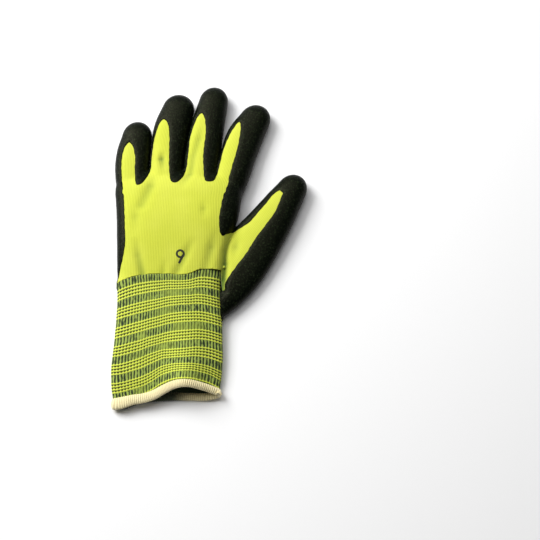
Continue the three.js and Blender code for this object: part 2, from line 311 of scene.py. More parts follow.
def closed_tube(rings):
    """The quads between neighbouring sections, and one face at each end."""
    count, sides = rings.shape[:2]
    index = np.arange(count * sides).reshape(count, sides)
    ahead = np.roll(index, -1, axis=1)
    quads = np.stack([index[:-1], index[1:], ahead[1:], ahead[:-1]], axis=-1).reshape(-1, 4)
    return rings.reshape(-1, 3), quads.tolist() + [index[0].tolist(), index[-1][::-1].tolist()]


def joined_form(tubes, voxel=1.05, rounds=9):
    """One surface round all the tubes: they are filled with small cubes, whose outer face is
    meshed, and each point is then moved half way to its neighbours' mean a few times, which
    rounds the crotches between the fingers."""
    points, faces, count = [], [], 0
    for tube in tubes:
        verts, polys = closed_tube(tube)
        points.append(verts)
        faces += [[i + count for i in poly] for poly in polys]
        count += len(verts)
    mesh = bpy.data.meshes.new("joined")
    mesh.from_pydata((np.concatenate(points) * MM).tolist(), [], faces)
    made = bpy.data.objects.new("joined", mesh)
    bpy.context.scene.collection.objects.link(made)
    remesh = made.modifiers.new("fill", "REMESH")
    remesh.mode = "VOXEL"
    remesh.voxel_size = voxel * MM
    graph = bpy.context.evaluated_depsgraph_get()
    result = bpy.data.meshes.new_from_object(made.evaluated_get(graph))
    bpy.data.objects.remove(made)
    surface = np.zeros(len(result.vertices) * 3)
    result.vertices.foreach_get("co", surface)
    surface = surface.reshape(-1, 3) / MM
    quads = np.zeros(len(result.loops), int)
    result.loops.foreach_get("vertex_index", quads)
    edges = np.zeros(len(result.edges) * 2, int)
    result.edges.foreach_get("vertices", edges)
    edges = edges.reshape(-1, 2)
    both = np.concatenate([edges, edges[:, ::-1]])
    degree = np.bincount(both[:, 0], minlength=len(surface))[:, None]
    for _ in range(rounds):
        total = [np.bincount(both[:, 0], surface[both[:, 1], k], len(surface)) for k in range(3)]
        surface = 0.5 * surface + 0.5 * np.stack(total, axis=1) / degree
    quads = quads.reshape(-1, 4)
    triangles = np.concatenate([quads[:, [0, 1, 2]], quads[:, [0, 2, 3]]])
    return surface, triangles


def point_normals(points, triangles):
    """At each point, the sum of its triangles' area vectors, made one long."""
    a, b, c = (points[triangles[:, k]] for k in range(3))
    area = np.cross(b - a, c - a)
    total = np.zeros_like(points)
    for k in range(3):
        for axis in range(3):
            total[:, axis] += np.bincount(triangles[:, k], area[:, axis], len(points))
    return total / np.linalg.norm(total, axis=1)[:, None]


def segment_distance(points, ends):
    """Each point's distance in plan to a straight piece between two ends, and the share of the way
    from its first end at which the piece is nearest."""
    start, line = np.array(ends[:2]), np.array(ends[2:4]) - np.array(ends[:2])
    share = np.clip(((points[:, :2] - start) @ line) / (line @ line), 0, 1)
    return np.linalg.norm(points[:, :2] - start - share[:, None] * line, axis=1), share


def fold_depth(points):
    """How far the folds lower a level part of the back: a bell curve of each point's distance to
    each fold, as high as the depth there, which changes evenly from end to end. Where folds meet,
    the eighth root of the summed eighth powers keeps the deeper one."""
    total = np.zeros(len(points))
    for *ends, half, depth, end_depth in FOLDS:
        far, share = segment_distance(points, ends)
        total += ((depth + share * (end_depth - depth)) * np.exp(-((far / half) ** 2))) ** FOLD_JOIN
    return total ** (1 / FOLD_JOIN)


def keep_part(points, triangles, value):
    """The part of a surface where a value is above zero: each triangle that the zero line crosses
    is cut where the value, taken as straight along its edges, is zero. Its corners are turned so
    that the first is the one that lies alone on its side of the line."""
    positive = value > 0
    count = positive[triangles].sum(axis=1)
    whole = triangles[count == 3]
    total = len(points)
    crossed = triangles[(count == 1) | (count == 2)]
    lone = positive[crossed].sum(axis=1) == 1
    first = np.argmax(positive[crossed] == lone[:, None], axis=1)
    order = (first[:, None] + np.arange(3)) % 3
    a, b, c = np.take_along_axis(crossed, order, axis=1).T
    pairs = np.concatenate([np.stack([a, b], 1), np.stack([a, c], 1)])
    pairs.sort(axis=1)
    edges, place = np.unique(pairs, axis=0, return_inverse=True)
    place = place.reshape(-1)
    u, w = value[edges[:, 0]], value[edges[:, 1]]
    share = (u / (u - w))[:, None]
    cut = points[edges[:, 0]] * (1 - share) + points[edges[:, 1]] * share
    ab, ac = place[: len(a)] + total, place[len(a) :] + total
    tips = np.stack([a, ab, ac], 1)[lone]
    backs = np.stack([ab, b, c], 1)[~lone]
    sides = np.stack([ab, c, ac], 1)[~lone]
    kept = np.concatenate([whole, tips, backs, sides])
    used, index = np.unique(kept, return_inverse=True)
    return np.concatenate([points, cut])[used], index.reshape(-1, 3), used, (edges, share)


def carry(values, used, cuts):
    """Values at the points of a cut surface, straight along each edge that was cut."""
    edges, share = cuts
    share = share.reshape((-1,) + (1,) * (values.ndim - 1))
    cut = values[edges[:, 0]] * (1 - share) + values[edges[:, 1]] * share
    return np.concatenate([values, cut])[used]


def walled(triangles, outer, inner):
    """A closed wall between two lifted copies of a surface, joined round each open edge."""
    count = len(outer)
    edges = np.concatenate([triangles[:, [0, 1]], triangles[:, [1, 2]], triangles[:, [2, 0]]])
    key = np.sort(edges, axis=1)
    _, first, times = np.unique(key, axis=0, return_index=True, return_counts=True)
    rim = edges[first[times == 1]]
    side = np.stack([rim[:, 1], rim[:, 0], rim[:, 0] + count], 1)
    other = np.stack([rim[:, 1], rim[:, 0] + count, rim[:, 1] + count], 1)
    faces = np.concatenate([triangles, triangles[:, ::-1] + count, side, other])
    return np.concatenate([outer, inner]), faces


def add_piece(name, points, faces, uv=None):
    """A smooth mesh object at the origin from points in millimetres and rows of corners."""
    mesh = bpy.data.meshes.new(name)
    mesh.from_pydata((points * MM).tolist(), [], faces.tolist())
    mesh.shade_smooth()
    if uv is not None:
        layer = mesh.uv_layers.new(name="stitch")
        layer.data.foreach_set("uv", uv[faces.reshape(-1)].reshape(-1))
    mesh.validate()
    made = bpy.data.objects.new(name, mesh)
    bpy.context.scene.collection.objects.link(made)
    return made


# The pitch of the knit's wales and courses.
WALE = 1.2
COURSE = 0.95
# The palm's count goes over into the fingers' along this length, from the finger roots on.
ROOTS_Y = 18
ROOTS_LENGTH = 26
FINGERS_FROM_Y = 8
# The thumb's count holds right of the crease and below the web between thumb and palm.
CREASE_X = 43
WEB_Y = 34
# The place on a digit's line whose x its wales are counted from.
ROOT_STEP = 8


def hand_stitch(points):
    """Where each point lies in the knit: wales counted across, courses counted along.

    Each digit counts from its own line, and the palm from the x axis, with a smooth change
    between them at the finger roots and a sharp one at the crease beside the thumb.
    """
    best = np.full(len(points), np.inf)
    own = points[:, :2].copy()
    for rows in DIGITS:
        line, half, _ = digit_line(rows)
        ahead = np.gradient(line, axis=0)
        ahead /= np.linalg.norm(ahead, axis=1)[:, None]
        along = np.concatenate([[0], np.cumsum(np.linalg.norm(np.diff(line, axis=0), axis=1))])
        gap = points[:, None, :2] - line[None]
        near = np.argmin((gap**2).sum(axis=2), axis=1)
        gap = gap[np.arange(len(points)), near]
        side = gap[:, 0] * ahead[near, 1] - gap[:, 1] * ahead[near, 0]
        forward = gap[:, 0] * ahead[near, 0] + gap[:, 1] * ahead[near, 1]
        closeness = np.linalg.norm(gap, axis=1) / half[near]
        here = np.stack([line[ROOT_STEP, 0] + side, line[0, 1] + along[near] + forward], axis=1)
        closer = closeness < best
        if rows is THUMB:
            closer &= (points[:, 0] > CREASE_X) & (points[:, 1] < WEB_Y)
            mix = np.ones(len(points))
        else:
            closer &= points[:, 1] > FINGERS_FROM_Y
            mix = np.clip((points[:, 1] - ROOTS_Y) / ROOTS_LENGTH, 0, 1)
            mix = mix * mix * (3 - 2 * mix)
        best = np.where(closer, closeness, best)
        blended = points[:, :2] * (1 - mix[:, None]) + here * mix[:, None]
        own = np.where(closer[:, None], blended, own)
    return own / np.array([WALE, COURSE])


glove_points, glove_triangles = joined_form(
    [digit(rows, KNIT_OUTSIDE) for rows in DIGITS] + [palm(KNIT_OUTSIDE), cuff_body(0)]
)
glove_points = glove_points + point_normals(glove_points, glove_triangles) * KNIT_LIFT
bare_points = glove_points
folded = fold_depth(glove_points)
upward = np.clip(point_normals(glove_points, glove_triangles)[:, 2], 0, 1)
glove_points = glove_points - (folded * upward)[:, None] * np.array([0, 0, 1])
glove_normals = point_normals(glove_points, glove_triangles)

past_wrist = glove_points[:, 1] - smooth_read(WRIST, glove_points[:, 0], 1) - CLEARANCE
cuff_right = smooth_read(CUFF, -past_wrist / CUFF_LENGTH, 2)
beside_cuff = glove_points[:, 0] - cuff_right - KNIT_LIFT - CLEARANCE
hand_points, hand_faces, hand_used, hand_cuts = keep_part(
    glove_points, glove_triangles, np.maximum(past_wrist, beside_cuff)
)
hand_normals = carry(glove_normals, hand_used, hand_cuts)
hand_walls, hand_shell = walled(hand_faces, hand_points, hand_points - hand_normals * HAND_WALL)
stitch = hand_stitch(hand_points)
knit_hand = add_piece("hand_knit_shell", hand_walls, hand_shell, np.concatenate([stitch, stitch]))
# Painted shade: the folds are tinted a darker green by their depth, which fades out only where
# the knit is nearly upright.
painted_fold_shade = folded * np.minimum(1, upward * 4) / DEEPEST_FOLD
hand_fold_shade = carry(painted_fold_shade, hand_used, hand_cuts)
# The fold attribute carries this painted fold shade to the knit's finish.
fold_shade_layer = knit_hand.data.attributes.new("fold", "FLOAT", "POINT")
fold_shade_layer.data.foreach_set("value", np.concatenate([hand_fold_shade, hand_fold_shade]))


class Shade:
    """A shader socket that adds Math nodes when it is used in an expression."""

    def __init__(self, tree, socket):
        self.tree = tree
        self.socket = socket

    def node(self, kind, settings=None, inputs=None):
        """Adds a node, applies its settings, then sets or links its inputs."""
        made = self.tree.nodes.new(kind)
        for name, value in (settings or {}).items():
            if name == "stops":
                ramp = made.color_ramp
                while len(ramp.elements) < len(value):
                    ramp.elements.new(1.0)
                for element, (position, color) in zip(ramp.elements, value):
                    element.position = position
                    element.color = color
            else:
                setattr(made, name, value)
        for key, value in (inputs or {}).items():
            if isinstance(value, Shade):
                self.tree.links.new(value.socket, made.inputs[key])
            else:
                made.inputs[key].default_value = value
        return made

    def wrap(self, made, output=0):
        """One of a node's outputs, as a value for further maths."""
        return Shade(self.tree, made.outputs[output])

    def operate(self, operation, *values):
        """A Math node on the given values, of which one is usually this socket."""
        inputs = dict(enumerate(values))
        return self.wrap(self.node("ShaderNodeMath", {"operation": operation}, inputs))

    def math(self, operation, *others):
        """A Math node whose first value is this socket."""
        return self.operate(operation, self, *others)

    def __add__(self, other):
        return self.math("ADD", other)

    def __radd__(self, other):
        return self.operate("ADD", other, self)

    def __sub__(self, other):
        return self.math("SUBTRACT", other)

    def __rsub__(self, other):
        return self.operate("SUBTRACT", other, self)

    def __mul__(self, other):
        return self.math("MULTIPLY", other)

    def __rmul__(self, other):
        return self.operate("MULTIPLY", other, self)

    def __pow__(self, other):
        return self.math("POWER", other)

    def __abs__(self):
        return self.math("ABSOLUTE")

    def band(self, low, high):
        """0 below low, 1 above high, with a smooth step between."""
        settings = {"interpolation_type": "SMOOTHSTEP"}
        return self.wrap(self.node("ShaderNodeMapRange", settings, {0: self, 1: low, 2: high}))

    def wave(self, period=1.0):
        """A cosine wave between 0 and 1 that is 1 at whole periods."""
        return (self * (2 * np.pi / period)).math("COSINE") * 0.5 + 0.5

    def blend(self, first, second):
        """A colour that goes from the first to the second as this value goes from 0 to 1."""
        mix = self.node("ShaderNodeMix", {"data_type": "RGBA"}, {0: self, 6: first, 7: second})
        return self.wrap(mix, 2)

    def split(self):
        """A vector's three parts."""
        made = self.node("ShaderNodeSeparateXYZ", None, {0: self})
        return self.wrap(made, 0), self.wrap(made, 1), self.wrap(made, 2)

    def scaled(self, factors):
        """A vector with each part times its own factor."""
        settings = {"operation": "MULTIPLY"}
        return self.wrap(self.node("ShaderNodeVectorMath", settings, {0: self, 1: factors}))

    def noise(self, scale, detail):
        """Cloudy noise at this place, with so many cells to a unit, 0.5 on average."""
        inputs = {"Vector": self, "Scale": scale, "Detail": detail}
        return self.wrap(self.node("ShaderNodeTexNoise", None, inputs))


def new_finish(name, roughness, **constants):
    """An empty material: its surface node, a helper on its object coordinates and its stitch map."""
    material = bpy.data.materials.new(name)
    material.use_nodes = True
    tree = material.node_tree
    surface = tree.nodes["Principled BSDF"]
    surface.inputs["Roughness"].default_value = roughness
    for socket, value in constants.items():
        surface.inputs[socket.replace("_", " ")].default_value = value
    place = Shade(tree, tree.nodes.new("ShaderNodeTexCoord").outputs["Object"])
    map_node = tree.nodes.new("ShaderNodeUVMap")
    map_node.uv_map = "stitch"
    return material, surface, place, Shade(tree, map_node.outputs[0])


def connect(surface, socket, value):
    """Links a value to one of the surface's sockets."""
    value.tree.links.new(value.socket, surface.inputs[socket])


def add_bump(surface, height, distance, strength):
    """Tilts the surface's light by a height, whose full range stands for a distance in mm."""
    inputs = {"Height": height, "Distance": distance * MM, "Strength": strength}
    bump = height.node("ShaderNodeBump", None, inputs)
    connect(surface, "Normal", height.wrap(bump))


def linear(red, green, blue):
    """A colour given as the eye reads it, 0 to 255, as the shader's linear light."""
    part = np.array([red, green, blue]) / 255
    low, high = part / 12.92, ((part + 0.055) / 1.055) ** 2.4
    return (*np.where(part <= 0.04045, low, high).tolist(), 1.0)


YELLOW = linear(203, 209, 54)
YELLOW_GROOVE_SHADE = linear(187, 197, 40)
YELLOW_PALE = linear(212, 216, 76)
# The darker green that is painted as shade in the folds.
FOLD_SHADE_GREEN = linear(84, 112, 4)
PRINT_INK = linear(18, 22, 14)


# The size figure, a nine: the middle of its bowl, the bowl's radius, its tail's end and the stroke.
FIGURE_X = 10.4
FIGURE_Y = -24.8
BOWL = 2.5
TAIL_X = -0.6
TAIL_Y = -6.4
STROKE = 1.6
INK_SOFTNESS = 0.15
# The print is on the upper face alone, which starts above this height.
FIGURE_FLOOR = 9


def size_figure(place):
    """1 where ink lies: a ring for the bowl, and a straight tail from the bowl's right side."""
    x, y, z = place.split()
    x = x * (1 / MM) - FIGURE_X
    y = y * (1 / MM) - FIGURE_Y
    round_bowl = (x * x + y * y) ** 0.5 - BOWL
    bowl = abs(round_bowl)
    run = TAIL_X - BOWL
    share = ((x - BOWL) * run + y * TAIL_Y) * (1 / (run**2 + TAIL_Y**2))
    share = share.math("MAXIMUM", 0.0).math("MINIMUM", 1.0)
    beside = x - BOWL - share * run
    past = y - share * TAIL_Y
    tail = (beside * beside + past * past) ** 0.5
    near = bowl.math("MINIMUM", tail)
    ink = 1 - near.band(STROKE / 2 - INK_SOFTNESS, STROKE / 2 + INK_SOFTNESS)
    return ink * z.band(FIGURE_FLOOR * MM, (FIGURE_FLOOR + 1) * MM)


def hand_finish():
    """Fluorescent yarn: upright wales of small chevron stitches, with painted shade down between their
    crests, faint lighter and duller patches, and a darker green painted as shade down in the folds.
    A plain size figure is printed near the wrist."""
    material, surface, place, stitch = new_finish("fluorescent_knit", 0.82, Sheen_Weight=0.25)
    across, along, _ = stitch.split()
    wale = across.wave()
    leg = (wale - 0.5) * 0.9
    course = (along + leg * 0.5).wave()
    height = wale * 0.75 + course * 0.25
    patches = place.noise(38.0, 2.0).band(0.35, 0.7)
    # Painted shade: the stitches turn darker down between their crests.
    ground = height.band(0.1, 0.75).blend(YELLOW_GROOVE_SHADE, YELLOW)
    colour = (patches * 0.35).blend(ground, YELLOW_PALE)
    # Painted shade: the knit turns a darker green down in the folds, read from the fold attribute.
    fold_shade_node = place.node("ShaderNodeAttribute", {"attribute_name": "fold"})
    colour = (place.wrap(fold_shade_node, 2) ** 1.6).blend(colour, FOLD_SHADE_GREEN)
    colour = (size_figure(place) * 0.98).blend(colour, PRINT_INK)
    connect(surface, "Base Color", colour)
    add_bump(surface, height + place.noise(900.0, 2.0) * 0.25, 0.2, 0.7)
    return material


knit_hand.data.materials.append(hand_finish())
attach(knit_hand, "root")
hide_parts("knit_hand")

# The latex coat.
# Black latex foam, dipped over the knit on the palm, round the sides of the hand and over the
# fingertips. It dries to a fine crinkle and thins out to a soft edge round the bare windows.

# Columns: y, left edge, right edge of the bare knit.
BACK_WINDOW = [
    (-50, -37.5, 43),
    (-46, -36.4, 43),
    (-32, -33.2, 43),
    (-16, -30.8, 43),
    (-10.6, -31.0, 41.2),
    (-8.4, -31.1, 39.6),
    (-5.5, -31.3, 38.7),
    (1, -31.9, 38.3),
    (12, -32.8, 39.3),
    (20, -33.6, 40.6),
    (28, -34.6, 42.2),
    (38, -35.6, 45.2),
]
# Columns: x, y of the back window's end at the knuckles.
KNUCKLES = [(-40, 26), (-23, 31.2), (3.8, 32.8), (30, 34.2), (46, 34.6)]
LITTLE_WINDOW = [
    (26, -34.6, -22.6),
    (30, -35.2, -24.8),
    (36, -36.4, -26.2),
    (46, -37.4, -27.2),
    (56, -37.8, -27.6),
    (62, -37.0, -28.6),
    (67, -35.2, -30.4),
    (69.4, -33.2, -32.4),
]
RING_WINDOW = [
    (26, -26.0, 4.5),
    (31, -21.6, 2.2),
    (36, -18.7, 0.5),
    (46, -15.8, -0.9),
    (62, -15.2, -1.6),
    (76, -13.2, -2.0),
    (84, -11.0, -3.2),
    (88, -9.2, -4.8),
    (89.6, -7.6, -6.6),
]
MIDDLE_WINDOW = [
    (26, 1.0, 30.0),
    (31, 5.0, 28.0),
    (36, 8.4, 26.6),
    (48, 12.0, 25.2),
    (62, 13.2, 25.0),
    (76, 14.4, 26.2),
    (86, 17.0, 25.8),
    (92, 19.4, 24.6),
    (95, 21.4, 22.8),
]
INDEX_WINDOW = [
    (26, 30.0, 41.8),
    (31, 32.2, 43.0),
    (36, 34.2, 44.3),
    (50, 37.4, 47.6),
    (64, 40.2, 51.0),
    (75, 44.2, 52.8),
    (82, 47.6, 53.2),
    (86, 50.2, 53.0),
    (87.6, 51.4, 52.4),
]
# Columns: share of the way from the wrist to the tip, x, y of the upper edge, x, y of the lower one.
THUMB_WINDOW = [
    (0, 40.4, -10.6, 40.4, -49.0),
    (0.15, 47.2, -5.7, 44.6, -42.0),
    (0.3, 54.4, -1.1, 51.4, -32.0),
    (0.45, 61.2, 3.2, 58.6, -22.0),
    (0.6, 67.0, 10.4, 65.6, -10.2),
    (0.75, 73.4, 18.3, 73.4, 0.8),
    (0.9, 79.4, 26.0, 81.2, 13.3),
    (1, 83.6, 28.8, 85.8, 26.2),
]
# The windows are on the upper side alone, above this height.
WINDOW_FLOOR = 8
FINGER_CORNER = 3.0
THUMB_CORNER = 1.0
# The coat's face lies this far outside the knit, and comes down to the lift of its edge over the
# softness. Its inner face lies just outside the knit, and its edge wavers a little.
EDGE_SOFTNESS = 3.5
COAT_LIFT = 0.75
COAT_EDGE_LIFT = 0.12
COAT_INNER_LIFT = 0.05
EDGE_WAVER = 0.1
# How far the coat reaches in under the cuff's thumb side.
CUFF_TUCK = 0.3

# Columns: x, y of the coat's edge across the cuff's palm side.
COAT_EDGE = [(-60, -44), (-39, -46), (-30, -56), (-18, -64), (0, -68.5), (20, -70), (41, -72), (70, -74)]


def row_window(points, table, end=None):
    """How far inside a window each point is, from the window's edges at the point's own y."""
    x, y = points[:, 0], points[:, 1]
    inside = np.minimum(x - smooth_read(table, y, 1), smooth_read(table, y, 2) - x)
    end = table[-1][0] if end is None else end
    return np.minimum(inside, np.minimum(y - table[0][0], end - y))


def outline_window(points, outline):
    """The signed distance in plan to a closed outline, above zero inside it."""
    ends = np.roll(outline, -1, axis=0)
    far = np.full(len(points), np.inf)
    crossings = np.zeros(len(points), int)
    x, y = points[:, 0], points[:, 1]
    for start, end in zip(outline, ends):
        far = np.minimum(far, segment_distance(points, (*start, *end))[0])
        over = (start[1] > y) != (end[1] > y)
        rise = end[1] - start[1] if end[1] != start[1] else 1.0
        crossings += over & (x < start[0] + (y - start[1]) * (end[0] - start[0]) / rise)
    return np.where(crossings % 2 == 1, far, -far)


def thumb_outline(steps=40):
    """The thumb window's outline: its upper edge out to the tip and its lower edge back."""
    share = np.linspace(0, 1, steps)
    upper = np.stack([smooth_read(THUMB_WINDOW, share, column) for column in (1, 2)], axis=1)
    lower = np.stack([smooth_read(THUMB_WINDOW, share, column) for column in (3, 4)], axis=1)
    return np.concatenate([upper, lower[::-1]])


def soft_most(first, second, reach):
    """The larger of two values, rounded over where they differ by less than the reach."""
    near = np.clip(reach - np.abs(first - second), 0, None)
    return np.maximum(first, second) + near**2 / (4 * reach)


def bare_depth(points):
    """How far inside the bare windows each point is: the windows joined with rounded corners, on
    the upper side alone, and the whole back of the cuff. Two crossing waves waver their edge."""
    bare = row_window(points, BACK_WINDOW, smooth_read(KNUCKLES, points[:, 0], 1))
    for table in (LITTLE_WINDOW, RING_WINDOW, MIDDLE_WINDOW, INDEX_WINDOW):
        bare = soft_most(bare, row_window(points, table), FINGER_CORNER)
    bare = soft_most(bare, outline_window(points, thumb_outline()), THUMB_CORNER)
    past_wrist = smooth_read(WRIST, points[:, 0], 1) - points[:, 1]
    cuff_edge = smooth_read(CUFF, past_wrist / CUFF_LENGTH, 2) - CUFF_TUCK
    cuff_side = np.minimum(past_wrist, cuff_edge - points[:, 0])
    bare = bare + EDGE_WAVER * np.sin(points[:, 0] * 0.9 + np.sin(points[:, 1] * 0.37) * 2)
    bare = bare + EDGE_WAVER * np.sin(points[:, 1] * 1.1 + np.sin(points[:, 0] * 0.41) * 2)
    bare = np.maximum(bare, cuff_side)
    bare = np.minimum(bare, points[:, 2] - WINDOW_FLOOR)
    beyond_edge = smooth_read(COAT_EDGE, points[:, 0], 1) - points[:, 1]
    return np.maximum(bare, beyond_edge)


coat_depth = -bare_depth(bare_points)
coat_points, coat_faces, coat_used, coat_cuts = keep_part(glove_points, glove_triangles, coat_depth)
coat_normals = carry(glove_normals, coat_used, coat_cuts)
covered = np.clip(carry(coat_depth, coat_used, coat_cuts) / EDGE_SOFTNESS, 0, 1)
covered = covered * (2 - covered)
lift = (COAT_EDGE_LIFT + (COAT_LIFT - COAT_EDGE_LIFT) * covered)[:, None]
coat_walls, coat_shell = walled(
    coat_faces, coat_points + coat_normals * lift, coat_points + coat_normals * COAT_INNER_LIFT
)
coat_walls[:, 2] = np.maximum(coat_walls[:, 2], 0)
palm_coat = add_piece("latex_coat", coat_walls, coat_shell)

LATEX = linear(2, 6, 3)
LATEX_PAINTED_GLINT = linear(36, 46, 28)
LATEX_GLINT = (1.0, 0.98, 0.62, 1.0)


def latex_finish():
    """Crinkled latex: small irregular ridges, with pale flecks on them that are painted glints."""
    material, surface, place, _ = new_finish("crinkled_latex", 0.38, Specular_IOR_Level=0.09)
    crinkle = place.noise(760.0, 4.0)
    fine = place.noise(1500.0, 2.0)
    # Painted glints: pale flecks scattered through the crinkle.
    glint_flecks = (crinkle * 0.65 + fine * 0.35).band(0.51, 0.68)
    connect(surface, "Base Color", glint_flecks.blend(LATEX, LATEX_PAINTED_GLINT))
    surface.inputs["Specular Tint"].default_value = LATEX_GLINT
    add_bump(surface, crinkle + fine * 0.4, 0.5, 0.8)
    return material


palm_coat.data.materials.append(latex_finish())
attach(palm_coat, "root")
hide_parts("palm_coating")

# The knitted cuff.
# An elastic rib knitted on at the wrist, in bands of fluorescent yellow and of yellow with dark
# green. It is pushed up a little, so that it opens at the mouth and its bands run in a wave.

# Ribs round the tube and courses along it, and the grid's steps to each.
RIBS = 76
RIB_SAMPLES = 5
COURSES = 39.2
COURSE_SAMPLES = 4
CUFF_WALL = 1.8
RIB_DEPTH = 0.36
# A band's length in courses, where the first one starts, and how many of its courses are yellow.
BAND = 6.0
BAND_START = 2.1
YELLOW_COURSES = 3.55
# How far the knit flares out over the hand's edge, and over which share of its length.
WRIST_FLARE = 1.0
WRIST_REACH = 0.05
# How far up a raised course lies in its own pitch.
BRIDGE_AT = 0.27
# How much of the upright ribs' relief stays in the dark bands, and how much the yellow ones add.
DARK_RELIEF = 0.5
YELLOW_RELIEF = 0.3
# Courses crowded at the mouth lie this share of the cuff's length apart.
CROWDED_STEP = 0.0005
# The map's second coordinate is the course outside, and this and more on the inner face.
INSIDE_MARK = 60

# The knit is stretched most at the left. Columns: x, how far apart the ribs are.
RIB_PITCH = [(-36, 2.4), (-26, 2.2), (-14, 1.9), (10, 1.85), (26, 2.1), (41, 2.2)]

# The wave in which the courses run. Columns: share of the courses, then how much nearer to the mouth
# they lie than evenly spaced ones, at each x in the row above.
DROP_X = (-36, -27, -18, -10, -2, 6, 14, 24, 34, 41)
COURSE_DROP = [
    (0, 0, 0, 0, 0, 0, 0, 0, 0, 0, 0),
    (0.1, 1.6, 1.5, 1.3, 0.7, 0.3, -0.1, -0.5, 0.9, 1.6, 2.1),
    (0.25, 2.1, 2.5, 2.2, 1.3, 0.5, -0.3, -0.9, 0.8, 1.9, 2.4),
    (0.4, 3.3, 3.6, 3.0, 1.7, 1.1, 0.4, -0.2, 1.2, 2.0, 2.5),
    (0.55, 3.9, 4.2, 3.6, 2.0, 1.9, 1.9, 1.7, 1.9, 1.9, 2.3),
    (0.7, 4.1, 4.4, 3.3, 1.3, 0.9, 2.4, 2.9, 2.1, 1.5, 1.9),
    (0.82, 4.3, 4.6, 3.7, 2.0, 0.5, 1.2, 2.0, 1.9, 1.8, 2.6),
    (0.92, 4.3, 4.2, 3.2, 1.7, 0, 0.2, 0.6, 0.4, 0.4, 1.6),
    (1, 4.3, 4.0, 2.8, 1.2, 0, 0, 0.3, 0.2, 0.2, 1.2),
]


def even_turns(count, share=0.5):
    """Turns round the cuff that are one rib's pitch apart, measured at one of its sections."""
    dense = np.linspace(0, 2 * np.pi, 4001)
    ring = cuff_form(dense, share, 0)
    steps = np.linalg.norm(np.diff(ring, axis=0), axis=1) / smooth_read(RIB_PITCH, ring[1:, 0], 1)
    walked = np.concatenate([[0], np.cumsum(steps)])
    return np.interp(np.arange(count) / count * walked[-1], walked, dense)


def course_share(turn, course):
    """Where courses lie as a share of the cuff's length: their even place plus their drop, which is
    read between its columns with weights that are 1 at their own x and 0 at the others. Courses
    that would lie past the mouth are crowded at its edge, under the binding."""
    x = cuff_form(turn, course, 0)[..., 0]
    weights = np.column_stack([DROP_X, np.eye(len(DROP_X))])
    drop = np.zeros(x.shape)
    for k in range(1, len(DROP_X) + 1):
        drop += smooth_read(COURSE_DROP, course, k) * smooth_read(weights, x, k)
    share = course + drop / CUFF_LENGTH
    crowded = 1 - CROWDED_STEP * np.arange(len(share))[::-1, None]
    return np.minimum(share, crowded)


def rib_relief(rib, course):
    """How far the knit stands out: upright ribs everywhere, and in the yellow bands raised courses
    that bridge them, so that only the holes between two ribs and two courses stay low."""
    upright = 0.5 + 0.5 * np.cos(2 * np.pi * rib)
    phase = np.mod(course - BAND_START, BAND)
    in_yellow = np.clip((YELLOW_COURSES - phase) / 0.4, 0, 1) * np.clip(phase / 0.3, 0, 1)
    bridging = 0.5 + 0.5 * np.cos(2 * np.pi * (phase - BRIDGE_AT))
    upright = 0.5 + (upright - 0.5) * (DARK_RELIEF + YELLOW_RELIEF * in_yellow)
    return RIB_DEPTH * np.maximum(upright, bridging * in_yellow) - RIB_DEPTH


def looped_grid(rings, columns, rows):
    """Quads over rings of points, the last of which joins the first, and their map corners: the
    columns' numbers and the rows' numbers, each with the number that closes the loop at its end."""
    count, sides = rings.shape[:2]
    index = np.arange(count * sides).reshape(count, sides)
    below, beside = np.roll(index, -1, axis=0), np.roll(index, -1, axis=1)
    quads = np.stack([index, beside, np.roll(below, -1, axis=1), below], axis=-1)
    corners = np.zeros((count, sides, 4, 2))
    corners[..., 0] = np.stack([columns[:-1], columns[1:], columns[1:], columns[:-1]], axis=-1)
    corners[..., 1] = np.stack([rows[:-1], rows[:-1], rows[1:], rows[1:]], axis=-1)[:, None]
    return rings.reshape(-1, 3), quads.reshape(-1, 4), corners.reshape(-1, 2)


def add_mapped(name, points, quads, corners):
    """A piece whose map is given for each corner of its faces."""
    made = add_piece(name, points, quads)
    made.data.uv_layers.new(name="stitch").data.foreach_set("uv", corners.reshape(-1))
    return made


def cuff_shell():
    """The rib's outer face with its relief, the smooth inner face, and both ends closed."""
    turn = even_turns(RIBS * RIB_SAMPLES)[None, :]
    course = np.linspace(0, 1, int(COURSES * COURSE_SAMPLES) + 1)[:, None]
    rib = np.arange(turn.size + 1) / RIB_SAMPLES
    relief = rib_relief(rib[None, :-1], course * COURSES)
    relief += WRIST_FLARE * np.exp(-((course / WRIST_REACH) ** 2))
    outer = cuff_form(turn, course_share(turn, course), relief)
    inner = cuff_form(turn, course[::-4], -CUFF_WALL)
    rows = np.concatenate([course[:, 0] * COURSES, INSIDE_MARK + course[::-4, 0], [INSIDE_MARK]])
    return looped_grid(np.concatenate([outer, inner]), rib, rows)


knit_cuff = add_mapped("cuff_rib_knit", *cuff_shell())

CUFF_YELLOW = linear(222, 231, 84)
CUFF_BRIDGE = linear(158, 174, 40)
CUFF_LOW_SHADE = linear(184, 198, 46)
CUFF_HOLE = linear(0, 6, 0)
CUFF_HOLE_SHUT = linear(34, 48, 0)
CUFF_DARK = linear(20, 40, 4)
CUFF_SAGE = linear(158, 178, 76)
CUFF_PALE = linear(150, 166, 52)
CUFF_INSIDE_SHADE = linear(30, 50, 16)
# Past these places, at the left and at the right, the ribs are pulled apart, with a soft change.
# At the right their darker gaps also stand for painted shade on the side turned from the light.
STRETCH_LEFT = -24
STRETCH_SHADE_RIGHT = 30
STRETCH_CHANGE = 8


